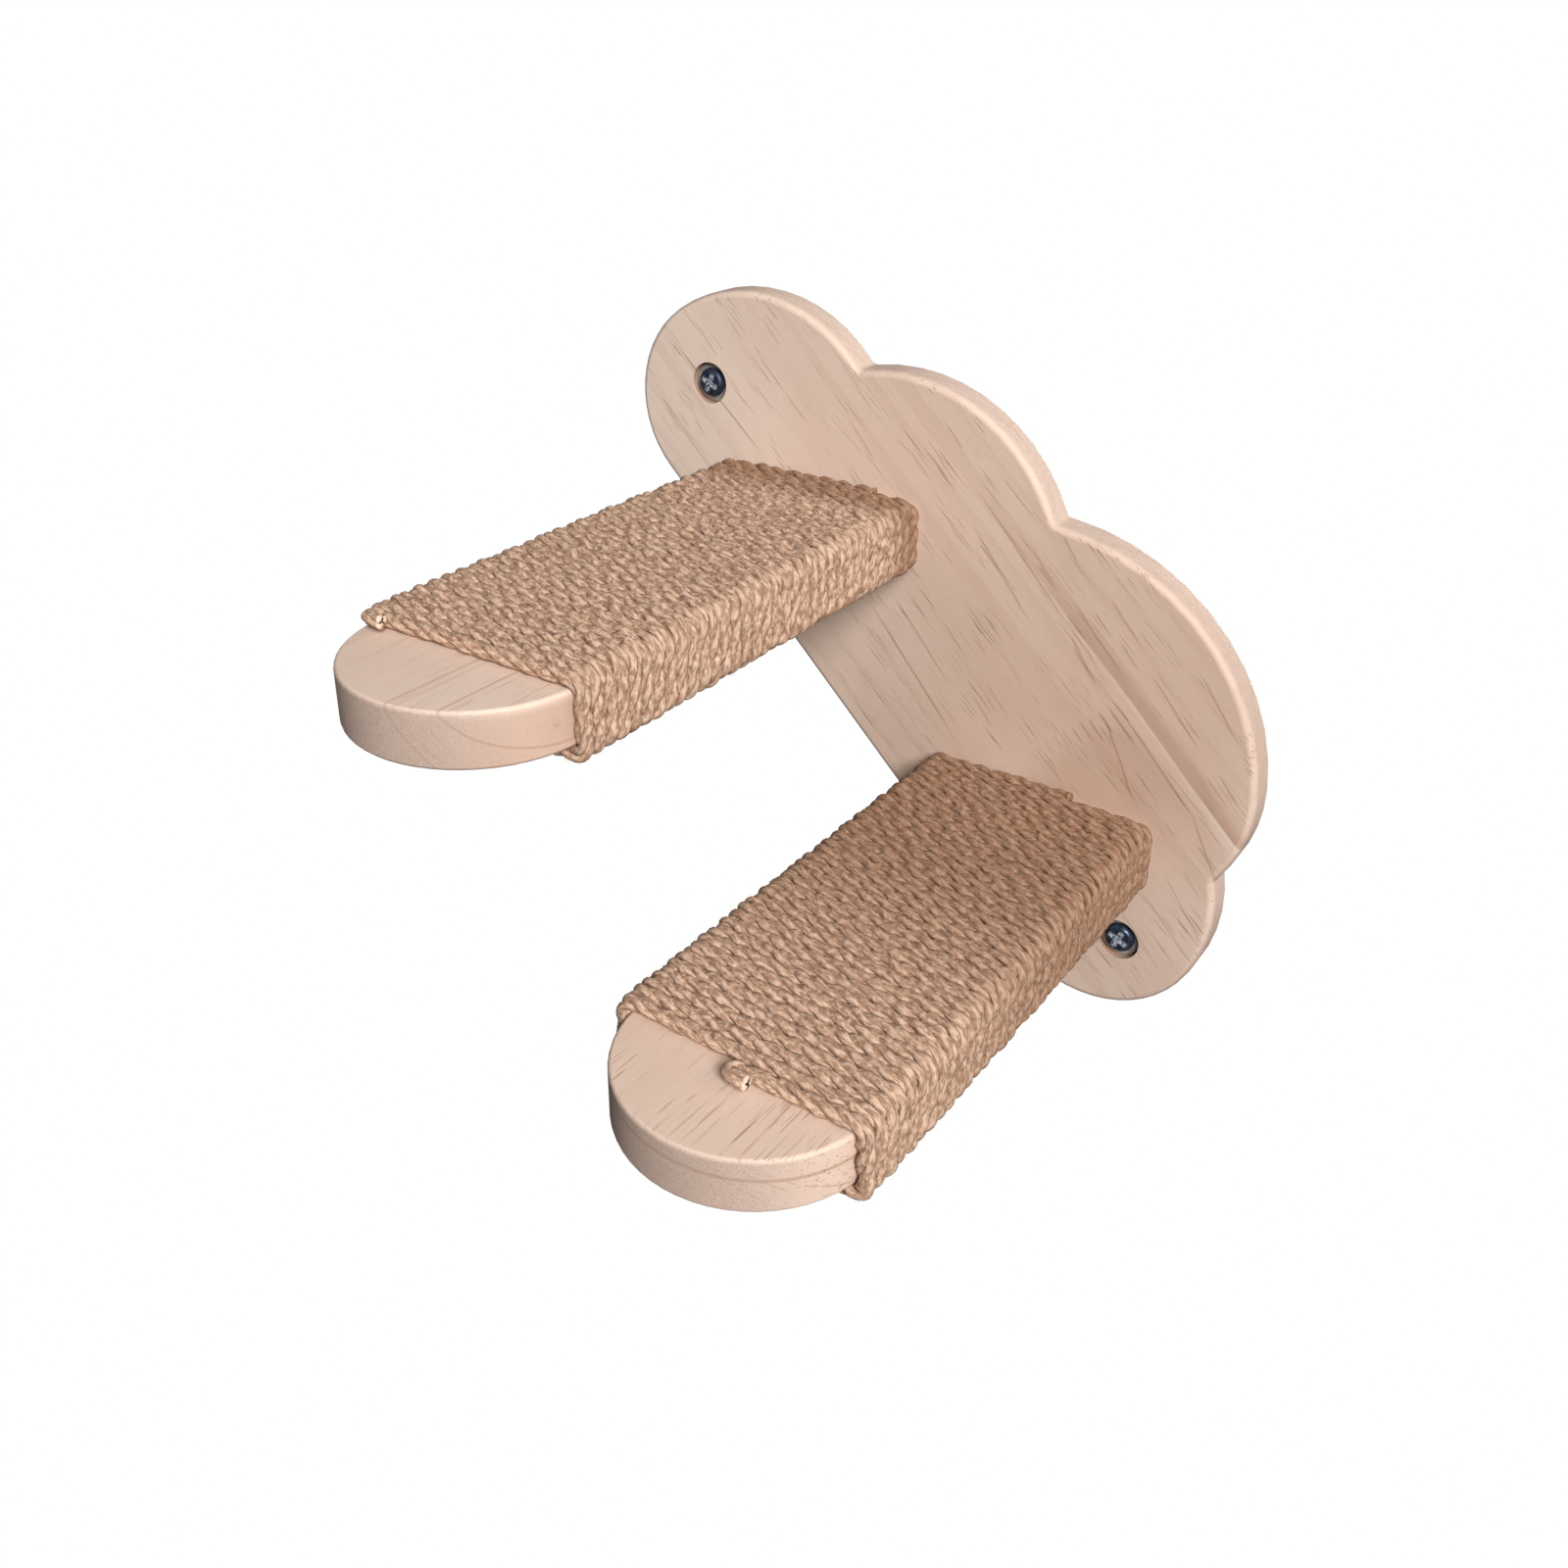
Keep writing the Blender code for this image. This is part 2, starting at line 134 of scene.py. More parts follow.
class Value:
    """A socket that Python's operators work on: each adds the Math node that it stands for."""

    def __init__(self, finish, socket):
        self.finish = finish
        self.socket = socket

    def maths(self, operation, *values):
        return self.finish.add("Math", {"operation": operation}, dict(enumerate(values)))

    def __add__(self, other):
        return self.maths("ADD", self, other)

    def __sub__(self, other):
        return self.maths("SUBTRACT", self, other)

    def __rsub__(self, other):
        return self.maths("SUBTRACT", other, self)

    def __mul__(self, other):
        return self.maths("MULTIPLY", self, other)

    def __truediv__(self, other):
        return self.maths("DIVIDE", self, other)

    def __pow__(self, other):
        return self.maths("POWER", self, other)

    def __abs__(self):
        return self.maths("ABSOLUTE", self)

    __radd__ = __add__
    __rmul__ = __mul__

    def fraction(self):
        return self.maths("FRACT", self)

    def at_least(self, other):
        return self.maths("MAXIMUM", self, other)

    def at_most(self, other):
        return self.maths("MINIMUM", self, other)

    def rise(self, low, high):
        """0 up to the low value, 1 from the high one on, and a smooth rise between them."""
        ends = {"Value": self, "From Min": low, "From Max": high}
        return self.finish.add("MapRange", {"interpolation_type": "SMOOTHSTEP"}, ends)

    def fall(self, low, high):
        """The same turned over: 1 up to the low value and 0 from the high one on."""
        return 1 - self.rise(low, high)

    def parts(self):
        node = self.finish.add("SeparateXYZ", {}, {0: self}).socket.node
        return [Value(self.finish, output) for output in node.outputs]


class Finish:
    """A material around its Principled shader, with one way to add any other node."""

    def __init__(self, name, **constants):
        self.material = bpy.data.materials.new(name)
        self.material.use_nodes = True
        self.nodes = self.material.node_tree.nodes
        self.shader = self.nodes["Principled BSDF"]
        for socket, value in constants.items():
            self.give(socket.replace("_", " "), value)

    def feed(self, socket, value):
        if isinstance(value, Value):
            self.material.node_tree.links.new(value.socket, socket)
        else:
            socket.default_value = value

    def give(self, socket, value):
        """Sets or feeds one of the shader's own sockets."""
        self.feed(self.shader.inputs[socket], value)

    def add(self, kind, settings=(), inputs=(), output=0):
        """Adds a node with these settings and inputs, and gives back one of its outputs."""
        node = self.nodes.new(f"ShaderNode{kind}")
        for name, value in dict(settings).items():
            setattr(node, name, value)
        for name, value in dict(inputs).items():
            self.feed(node.inputs[name], value)
        return Value(self, node.outputs[output])

    def mix(self, share, first, second):
        """Two colours mixed: its sockets 6 and 7 are the colours, and output 2 is their mix."""
        return self.add("Mix", {"data_type": "RGBA"}, {0: share, 6: first, 7: second}, output=2)

    def noise(self, x, y, z=0.0, detail=2.0):
        """Soft random values about 0.5 that change over one unit of each of the three numbers."""
        place = self.add("CombineXYZ", {}, {0: x, 1: y, 2: z})
        return self.add("TexNoise", {}, {"Vector": place, "Scale": 1.0, "Detail": detail})

    def relief(self, height, depth):
        """Bumps as deep as depth, in metres, wherever the height goes from 0 to 1."""
        bump = self.add("Bump", {}, {"Height": height, "Distance": depth})
        self.give("Normal", bump)

    def paint(self, piece):
        piece.data.materials.clear()
        piece.data.materials.append(self.material)


def grain_axes(finish, place, turn):
    """Millimetres along the grain, across it and through the board's thickness."""
    here = finish.add("TexCoord", output="Object")
    inside = {"Vector": here, "Location": place, "Rotation": turn}
    mapped = finish.add("Mapping", {"vector_type": "TEXTURE"}, inside)
    return [part * MILLIMETRES for part in mapped.parts()]


def end_grain(finish, turn):
    """1 where the skin cuts straight across the grain, 0 where it runs along it."""
    facing = finish.add("TexCoord", output="Normal")
    turned = finish.add("Mapping", {"vector_type": "TEXTURE"}, {"Vector": facing, "Rotation": turn})
    return abs(turned.parts()[0]).rise(0.35, 0.95)


def grain_noise(finish, axes, length, width, detail=2.0):
    """Random values in spots of this length along the grain and this width across it."""
    along, across, through = axes
    return finish.noise(along / length, across / width, through / width, detail)


RING_SWAY = 3.0


def ring_distance(finish, axes, heart):
    """Distance from the trunk's heart, swaying as the trunk did."""
    _, across, through = axes
    sway = grain_noise(finish, axes, length=120, width=45) - 0.5
    return ((across - heart[0]) ** 2.0 + (through - heart[1]) ** 2.0) ** 0.5 + sway * RING_SWAY


WOOD_ROUGHNESS = 0.46
GRAIN_DEPTH = 0.00008


def wood(finish, axes, shades, rings, marks, cross_cut, warmth=0.0, dashed=0.62):
    """Lays the grain on a wood: slow changes of shade, rings, short dashes, marks and fine fibres.

    Rings, marks and warmth say how strongly each shows from place to place, and dashed how dark
    the dashes are. Where the skin is cut across the grain, a greyer shade with pores shows instead.
    """
    clouds = grain_noise(finish, axes, length=90, width=26).rise(0.3, 0.7)
    tone = finish.mix(clouds * 0.16 + warmth, shades["pale"], shades["warm"])
    tone = finish.mix(rings, tone, shades["late"])
    streaks = grain_noise(finish, axes, length=20, width=0.65, detail=1.0).rise(0.59, 0.68)
    patches = grain_noise(finish, axes, length=45, width=8, detail=1.0).rise(0.45, 0.62)
    dashes = streaks * (patches * 0.85 + 0.15) * (1 - cross_cut)
    tone = finish.mix(dashes * dashed, tone, shades["dash"])
    tone = finish.mix(marks, tone, shades["late"])
    fibres = grain_noise(finish, axes, length=6, width=0.25, detail=3.0)
    tone = finish.mix(fibres.rise(0.35, 0.75) * 0.1, tone, shades["late"])
    pores = grain_noise(finish, axes, length=3, width=0.5, detail=3.0)
    tone = finish.mix(cross_cut * (pores.rise(0.35, 0.65) * 0.4 + 0.4), tone, shades["cut"])
    finish.give("Base Color", tone)
    finish.give("Roughness", fibres * 0.16 + cross_cut * 0.12 + WOOD_ROUGHNESS)
    finish.relief(fibres * 0.6 - dashes * 0.5 - cross_cut * pores * 0.5, GRAIN_DEPTH)


def on_axis(node, y):
    """The point at this y on the line through a node's middle, square to the wall."""
    low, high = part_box(node)
    return Vector(((low.x + high.x) / 2, y, (low.z + high.z) / 2))


PINE_SHADES = {
    "pale": colour(242, 218, 200),
    "warm": colour(202, 171, 151),
    "late": colour(166, 120, 90),
    "dash": colour(150, 110, 84),
    "cut": colour(172, 148, 136),
}

# Long grain lines on the plate. Each runs from one place to another, in millimetres along and
# across the grain from the plate's middle, and has its darkness. The short ones that start at 60
# to 62 along are the ends of the joint's fingers.
PLATE_LINES = (
    ((-179, -2.8), (-98, 0.6), 0.55),
    ((-166, 13.0), (-149, 11.6), 0.35),
    ((-160, 28.2), (-146, 27.0), 0.30),
    ((-149, 42.0), (-131, 40.6), 0.32),
    ((-132, 19.2), (-114, 18.4), 0.30),
    ((-118, 28.6), (-101, 29.0), 0.34),
    ((-92, 46.4), (-68, 44.4), 0.36),
    ((-64, 81.2), (-49, 80.0), 0.40),
    ((-66, 60.6), (-48, 59.8), 0.28),
    ((-40, 75.0), (32, 70.2), 0.50),
    ((-28, 12.6), (24, 7.2), 0.45),
    ((-34, 0.4), (48, -7.4), 0.62),
    ((-4, 24.6), (16, 22.6), 0.42),
    ((-28, 63.6), (22, 57.0), 0.44),
    ((-8, 78.6), (18, 76.2), 0.38),
    ((-2, 92.6), (12, 90.2), 0.44),
    ((18, 79.0), (60, 76.4), 0.42),
    ((26, 92.4), (52, 90.6), 0.48),
    ((28, 83.8), (42, 82.6), 0.42),
    ((44, 84.6), (58, 83.4), 0.44),
    ((58, 87.0), (93, 83.8), 0.46),
    ((70, 103.2), (97, 98.6), 0.50),
    ((104, 84.2), (120, 82.4), 0.48),
    ((104, 79.2), (118, 78.2), 0.36),
    ((30, 69.4), (56, 63.8), 0.50),
    ((34, 67.2), (50, 64.6), 0.40),
    ((26, 24.0), (46, 21.6), 0.36),
    ((28, 14.4), (46, 12.4), 0.40),
    ((32, 19.6), (42, 18.6), 0.32),
    ((62, 66.8), (122, 63.6), 0.60),
    ((112, 65.0), (146, 52.6), 0.45),
    ((62, 60.4), (104, 44.4), 0.60),
    ((61, 66.4), (73, 66.6), 0.50),
    ((61, 63.0), (82, 62.6), 0.70),
    ((61, 58.2), (74, 57.6), 0.65),
    ((61, 52.7), (75, 52.0), 0.60),
    ((61, 48.6), (72, 48.2), 0.50),
    ((61, 44.1), (71, 43.7), 0.42),
    ((60, 39.6), (69, 39.2), 0.30),
    ((60, 34.8), (68, 34.4), 0.25),
    ((60, 29.6), (68, 29.2), 0.20),
    ((60, 24.2), (72, 23.6), 0.40),
    ((130, 46.0), (146, 43.6), 0.30),
    ((126, 38.2), (166, 31.0), 0.30),
    ((130, 23.8), (168, 22.4), 0.28),
    ((124, 10.6), (166, 8.0), 0.30),
)
LINE_WIDTH = 0.42
LINE_FADE = 0.3


def grain_line(along, across, start, end, darkness):
    """One long dark line of the grain, thinning out at both ends."""
    slope = (end[1] - start[1]) / (end[0] - start[0])
    offset = across - (along - start[0]) * slope - start[1]
    fade = (end[0] - start[0]) * LINE_FADE
    fade_in = along.rise(start[0], start[0] + fade)
    fade_out = along.fall(end[0] - fade, end[0])
    return abs(offset).fall(LINE_WIDTH * 0.3, LINE_WIDTH * 1.7) * fade_in * fade_out * darkness


plate = sanded_board("back_plate", "back_plate_staves")
plate_pine = Finish("plate_pine", Specular_IOR_Level=0.35)
plate_axes = grain_axes(plate_pine, (0, 0, 0), PLATE_TURN)
along, across, through = plate_axes
sag = plate_pine.noise(along / 30, across / 30, detail=1.0) - 0.5
wavering = across + sag * 0.8
marks = 0.0
for start, end, darkness in PLATE_LINES:
    marks = grain_line(along, wavering, start, end, darkness) + marks

# The seam of two staves, with a band of late wood above it that is darker towards the lower end
SEAM = 72.6
SEAM_FALL = 1.8
BAND_DEPTH = 8.5

above_seam = across - SEAM + along.rise(60, 140) * SEAM_FALL + sag * 1.2
band_strength = along.rise(-60, 110) * 0.5 + 0.1
band = above_seam.rise(-0.6, 0.8) * above_seam.fall(0.5, BAND_DEPTH) * band_strength
below_seam = above_seam.fall(-0.6, 0.6) * above_seam.rise(-2.2, -0.8) * along.rise(-20, 50)

# The browner block that is finger-jointed to the stave below the seam
JOINT_ALONG = 64.0
JOINT_TOP = 67.6

block = (along - JOINT_ALONG).rise(-3, 14) * (across - JOINT_TOP).fall(-6, 0)

# Painted shade on the counterbores' walls: they are darkened with the late wood's shade, as if in
# shadow
COUNTERBORE_RADIUS = 9.0
COUNTERBORE_PAINTED_SHADE = 0.75

plate_low, plate_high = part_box("back_plate")
plate_thickness = (plate_high.y - plate_low.y) * MILLIMETRES
screw_along = on_axis("lower_wall_screw", 0).length * MILLIMETRES
sunk = through.rise(0.5, 1.0) * through.fall(plate_thickness - 0.8, plate_thickness - 0.1)
for side in (-1, 1):
    from_screw = ((along - side * screw_along) ** 2.0 + across ** 2.0) ** 0.5
    inside = from_screw.rise(COUNTERBORE_RADIUS - 0.7, COUNTERBORE_RADIUS - 0.1)
    wall = inside * from_screw.fall(COUNTERBORE_RADIUS + 0.1, COUNTERBORE_RADIUS + 0.5)
    # The painted shade in the counterbores joins the grain lines
    marks = marks + wall * sunk * COUNTERBORE_PAINTED_SHADE

# The sawn rim, which shows some cross-cut wood all the way round, and the faint rings
PLATE_HEART = (20, -70)
PLATE_YEAR = 6.5

rim = through.rise(0.1, 2.5) * through.fall(plate_thickness - 2.5, plate_thickness - 0.1)
cross_cut = end_grain(plate_pine, PLATE_TURN).at_least(rim * 0.5)
years = (ring_distance(plate_pine, plate_axes, PLATE_HEART) / PLATE_YEAR).fraction()
rings = years.rise(0.5, 0.95) * years.fall(0.95, 1.0) * 0.1 + band * 0.2 + block * 0.07

# The wood is warmest a little past the middle, and paler at both ends
left_end = across.fall(0, 40) * along.fall(-125, -80)
warmth = along.rise(-120, 60) * 0.4 + block * 0.2 - along.rise(90, 160) * 0.5 - left_end * 0.35
warmth = warmth + band - below_seam * 0.2 + 0.16
wood(plate_pine, plate_axes, PINE_SHADES, rings, marks, cross_cut, warmth)
plate_pine.paint(plate)

# Step boards. Two equal pine planks with half-round tips, their long edges eased. The grain runs
# out along each plank, so the tip's nose shows end grain. The upper one was sawn beside the
# trunk's heart and the lower one well away from it, so their rings lie differently.
STEP_TURN = (0, 0, radians(-90))
STEP_THICKNESS = 0.020

# Each plank's wood. The heart of its trunk, and where its rings come out on top, each with its
# darkness, are in millimetres from the plank's middle. Then come the rings' width and how far they
# are broken up, the wood's warmth, and what the right side's edge adds to it, how dark the seam
# and the dashes are, and a shift along the grain, so that the two planks differ.
STEPS = {
    "upper": {
        "heart": (64, 42),
        "rings": ((6, 0.34), (9.5, 0.16), (22.8, 0.40), (-24, 0.10), (-3, 0.08)),
        "width": 0.55,
        "broken": 0.0,
        "warmth": 0.25,
        "edge_warmth": 0.55,
        "seam": 0.0,
        "dashed": 0.3,
        "shift": 0.0,
    },
    "lower": {
        "heart": (-36, -84),
        "rings": (
            (-22, 0.30),
            (-13, 0.22),
            (-7.5, 0.40),
            (-4, 0.45),
            (1, 0.34),
            (5, 0.48),
            (9, 0.24),
            (17.5, 0.34),
            (22.5, 0.42),
        ),
        "width": 0.5,
        "broken": 0.9,
        "warmth": 0.42,
        "edge_warmth": 0.0,
        "seam": 0.55,
        "dashed": 0.55,
        "shift": 430.0,
    },
}
PLANK_SEAM_HEIGHT = 4.2
PLANK_SEAM_SLOPE = 0.056


def step_centre(name):
    """The middle of a step's root, on the plate's front face."""
    node = f"{name}_step_board"
    return on_axis(node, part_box(node)[1].y)


for name, step in STEPS.items():
    board = sanded_board(f"{name}_step_board", f"{name}_step_plank")
    pine = Finish(f"{name}_step_pine", Specular_IOR_Level=0.35)
    axes = grain_axes(pine, step_centre(name), STEP_TURN)
    along, across, through = axes
    shifted = (along + step["shift"], across, through)
    distance = ring_distance(pine, shifted, step["heart"])
    top = STEP_THICKNESS * MILLIMETRES / 2
    rings = 0.0
    for place, darkness in step["rings"]:
        aside = place - step["heart"][0]
        radius = hypot(aside, top - step["heart"][1])
        width = step["width"] * abs(aside) / radius
        rings = abs(distance - radius).fall(width * 0.3, width * 1.6) * darkness + rings
    breaks = grain_noise(pine, axes, length=16, width=2.5, detail=1.0).rise(0.48, 0.56)
    rings = rings * (breaks * step["broken"] + (1 - step["broken"]))
    right_edge = through.fall(6, 9.5) * across.rise(0, 40)
    warmth = right_edge * step["edge_warmth"] + step["warmth"]
    from_seam = abs(through - PLANK_SEAM_HEIGHT + across * PLANK_SEAM_SLOPE)
    seam = from_seam.fall(0.2, 1.0) * step["seam"]
    cross_cut = end_grain(pine, STEP_TURN)
    wood(pine, shifted, PINE_SHADES, rings, seam, cross_cut, warmth, step["dashed"])
    pine.paint(board)

# Dowels. Turned beech pins, glued half in the plate and half in the plank, that keep the plank
# from turning. They are hidden in the wood.
BEECH_SHADES = {
    "pale": colour(206, 168, 134),
    "warm": colour(196, 152, 116),
    "late": colour(160, 112, 78),
    "dash": colour(130, 86, 58),
    "cut": colour(150, 108, 78),
}
BEECH_HEART = (30, -20)
BEECH_YEAR = 2.6

for name in STEPS:
    for word in ("left", "right"):
        dowel = frame["nodes"][f"{name}_step_dowel_{word}"]
        beech = Finish(f"{name}_{word}_beech", Specular_IOR_Level=0.3)
        axes = grain_axes(beech, step_centre(name), STEP_TURN)
        years = (ring_distance(beech, axes, BEECH_HEART) / BEECH_YEAR).fraction()
        rings = years.rise(0.5, 1.0) * 0.3
        wood(beech, axes, BEECH_SHADES, rings, 0.0, end_grain(beech, STEP_TURN))
        beech.paint(dowel)

# Fixing screws. Zinc-plated countersunk screws with a cross recess, driven from behind through
# the plate into the planks' ends, their heads flush with the plate's back.
THREAD_PITCH = 0.0018
THREAD_DEPTH = 0.0006
THREADLESS = 0.006
POINT_LENGTH = 0.004
POINT_WIDTH = 0.08
CROSS_DEPTH = 0.0018

# The cross's arms as shares of the head's radius, and how much of them is left at the bottom
CROSS_REACH = 0.57
CROSS_WIDTH = 0.2
CROSS_TAPER = 0.5


def cross_cutter(head_radius, face):
    """Two tapered blades at right angles, sunk from the head's face."""
    blades = []
    for number in range(2):
        bpy.ops.mesh.primitive_cube_add(size=2, location=(0, 0, face))
        blade = bpy.context.active_object
        blade.scale = (head_radius * CROSS_REACH, head_radius * CROSS_WIDTH / 2, CROSS_DEPTH)
        blade.rotation_euler.z = radians(90) * number
        bpy.ops.object.transform_apply(location=True, rotation=True, scale=True)
        for corner in blade.data.vertices:
            if corner.co.z < face:
                corner.co.x *= CROSS_TAPER
                corner.co.y *= CROSS_TAPER
        blades.append(blade)
    apply_modifier(blades[0], "BOOLEAN", operation="UNION", solver="EXACT", object=blades[1])
    bpy.data.objects.remove(blades[1])
    return blades[0]


def threaded_shank(shank_radius, length):
    """A pointed core with a sharp thread wound round it, from the head's seat at z = 0 down."""
    core_radius = shank_radius - THREAD_DEPTH
    straight = length - POINT_LENGTH
    bpy.ops.mesh.primitive_cylinder_add(
        vertices=24, radius=core_radius, depth=straight, location=(0, 0, -straight / 2)
    )
    core = bpy.context.active_object
    bpy.ops.object.transform_apply(location=True, rotation=False, scale=False)
    bpy.ops.object.mode_set(mode="EDIT")
    bpy.ops.mesh.select_all(action="DESELECT")
    bpy.ops.object.mode_set(mode="OBJECT")
    for face in core.data.polygons:
        face.select = face.normal.z < -0.9
    bpy.ops.object.mode_set(mode="EDIT")
    bpy.ops.mesh.extrude_region_move(TRANSFORM_OT_translate={"value": (0, 0, -POINT_LENGTH)})
    bpy.ops.transform.resize(value=(POINT_WIDTH, POINT_WIDTH, 1))
    bpy.ops.object.mode_set(mode="OBJECT")

    bpy.ops.mesh.primitive_circle_add(
        vertices=3,
        radius=THREAD_DEPTH,
        location=(core_radius, 0, -straight),
        rotation=(radians(90), 0, 0),
    )
    thread = bpy.context.active_object
    bpy.ops.object.transform_apply(location=True, rotation=True, scale=False)
    turns = floor((straight - THREADLESS) / THREAD_PITCH)
    apply_modifier(
        thread,
        "SCREW",
        screw_offset=THREAD_PITCH,
        iterations=turns,
        steps=20,
        render_steps=20,
        use_merge_vertices=False,
    )
    bpy.ops.object.mode_set(mode="EDIT")
    bpy.ops.mesh.select_all(action="DESELECT")
    bpy.ops.mesh.select_non_manifold()
    bpy.ops.mesh.fill()
    bpy.ops.mesh.select_all(action="SELECT")
    bpy.ops.mesh.normals_make_consistent(inside=False)
    bpy.ops.object.mode_set(mode="OBJECT")
    return core, thread


def finished_screw(name, head, face, shank_radius, length, cutter_radius):
    """Cuts the recess into the head and joins it with its threaded shank."""
    cutter = cross_cutter(cutter_radius, face)
    apply_modifier(head, "BOOLEAN", operation="DIFFERENCE", solver="EXACT", object=cutter)
    bpy.data.objects.remove(cutter)
    core, thread = threaded_shank(shank_radius, length)
    select_only(head, core, thread)
    bpy.ops.object.join()
    bpy.ops.object.shade_smooth_by_angle(angle=SMOOTH_BELOW)
    head.name = name
    return head


def placed_copy(model, name, place, turn, node):
    """A copy of a fastener with its own mesh, set in its hole in place of the plain solid."""
    piece = bpy.data.objects.new(name, model.data.copy())
    bpy.context.scene.collection.objects.link(piece)
    piece.location = place
    piece.rotation_euler = turn
    select_only(piece)
    bpy.ops.object.transform_apply(location=True, rotation=True, scale=True)
    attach(piece, "root")
    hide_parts(node)
    return piece


def round_noise(finish, size, detail=2.0):
    """Random values in spots of this size, in millimetres, the same in all directions."""
    here = finish.add("TexCoord", output="Object").parts()
    x, y, z = (part * MILLIMETRES / size for part in here)
    return finish.noise(x, y, z, detail)


PLATING_DEPTH = 0.00002


def plated(name, clean, worn, roughness, metallic):
    """Plated steel: its sheen clouded by handling, with a fine grit over it."""
    finish = Finish(name, Metallic=metallic)
    clouds = round_noise(finish, 2.4, detail=4.0).rise(0.35, 0.7)
    grit = round_noise(finish, 0.25)
    tone = finish.mix(clouds, clean, worn)
    finish.give("Base Color", tone)
    finish.give("Roughness", clouds * 0.15 + grit * 0.12 + roughness)
    finish.relief(grit * 0.5 + clouds * 0.5, PLATING_DEPTH)
    return finish, tone


FIXING_HEAD_RADIUS = 0.004
FIXING_SHANK_RADIUS = 0.002
CLEAN_ZINC = colour(206, 204, 198)
WORN_ZINC = colour(168, 160, 148)

zinc, _ = plated("dull_zinc", CLEAN_ZINC, WORN_ZINC, roughness=0.3, metallic=0.6)
fixing_low, fixing_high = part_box("upper_step_fixing_screw_left")
fixing_length = fixing_high.y - fixing_low.y
head_depth = FIXING_HEAD_RADIUS - FIXING_SHANK_RADIUS
bpy.ops.object.select_all(action="DESELECT")
bpy.ops.mesh.primitive_cone_add(
    vertices=48,
    radius1=FIXING_SHANK_RADIUS,
    radius2=FIXING_HEAD_RADIUS,
    depth=head_depth,
    location=(0, 0, -head_depth / 2),
)
fixing_head = bpy.context.active_object
bpy.ops.object.transform_apply(location=True, rotation=False, scale=False)
fixing_model = finished_screw(
    "fixing_screw_model", fixing_head, 0, FIXING_SHANK_RADIUS, fixing_length, FIXING_HEAD_RADIUS
)
for name in STEPS:
    for word in ("left", "right"):
        node = f"{name}_step_fixing_screw_{word}"
        piece = placed_copy(
            fixing_model,
            f"{node}_threaded",
            on_axis(node, fixing_high.y),
            (radians(-90), 0, 0),
            node,
        )
        zinc.paint(piece)
bpy.data.objects.remove(fixing_model)

# Ropes. Three-strand jute rope, wound round each plank from the plate outwards with its turns
# pushed tight together. Its thinner tail folds back to lie in front of the last turn. Each strand
# is a piece of its own, and so are the loose fibres that stand off the rope.
ROPE_DIAMETER = 0.0056
SEAT_GAP = 0.0003
TURN_GAP = 0.00035
STEP_HALF_WIDTH = 0.045
STEP_STRAIGHT = 0.2025
STEP_EDGE_RADIUS = 0.0015
ROPE_LAY = 0.0270
STRAND_OFFSET = 0.00138
STRAND_RADIUS = 0.00152
STRAND_FLATNESS = 1.08
STRAND_SIDES = 10
STATION = 0.001
TAIL_LENGTH = 0.0055
TAIL_THICKNESS = 0.0053
TAIL_TAPER = 0.005
TAIL_LIFT = 0.002
FIBRES = 5000
FIBRE_REACH = (0.0015, 0.0055)
FIBRE_THICKNESS = (0.00003, 0.00007)

# How the loose fibres lie: how far round the rope they root and how deep, as a share of its
# diameter, how much they stray to the sides, how high they stand, how they bend and how they thin
FIBRE_LEAN = 1.2
FIBRE_ROOT = 0.46
FIBRE_STRAY = 0.6
FIBRE_LIFT = (0.05, 0.5)
FIBRE_BEND = 0.25
FIBRE_THINNING = 0.7

# Each rope in metres: how much of its plank is wound, where it starts and ends across the top, and
# how much of its length, from the start at the plate on, is painted browner as shade. It swells by
# a share of its thickness at the plate, where it isn't pulled as tight, and less and less further
# out.
ROPES = {
    "upper": {
        "wound": 0.2075,
        "start": 0.027,
        "end": -0.038,
        "brown": 1.2,
        "swell": 0.13,
        "seed": 11,
    },
    "lower": {
        "wound": 0.2120,
        "start": 0.014,
        "end": 0.004,
        "brown": 7.5,
        "swell": 0.04,
        "seed": 23,
    },
}


def half_width_at(distance):
    """Half the plank's width at a distance from the plate, less where the tip rounds off."""
    past = max(0.0, distance - STEP_STRAIGHT)
    return sqrt(max(STEP_HALF_WIDTH**2 - past * past, 0.0))


def loop_point(travel, start_x, half_width):
    """Where the rope's middle is after travelling a share of one turn, going left on top first."""
    bend = STEP_EDGE_RADIUS + SEAT_GAP + ROPE_DIAMETER / 2
    flat = half_width - STEP_EDGE_RADIUS
    side = STEP_THICKNESS - 2 * STEP_EDGE_RADIUS
    corner = bend * pi / 2
    runs = [start_x + flat, corner, side, corner, 2 * flat, corner, side, corner, flat - start_x]
    left = travel * sum(runs)
    place = Vector((start_x, 0, STEP_THICKNESS / 2 - STEP_EDGE_RADIUS + bend))
    heading = pi
    for number, run in enumerate(runs):
        part = min(left, run)
        if number % 2 == 0:
            place += Vector((cos(heading), 0, sin(heading))) * part
        else:
            turned = part / bend
            centre = place + Vector((-sin(heading), 0, cos(heading))) * bend
            heading += turned
            place = centre + Vector((sin(heading), 0, -cos(heading))) * bend
        left -= part
        if left <= 0:
            break
    return place, sum(runs)


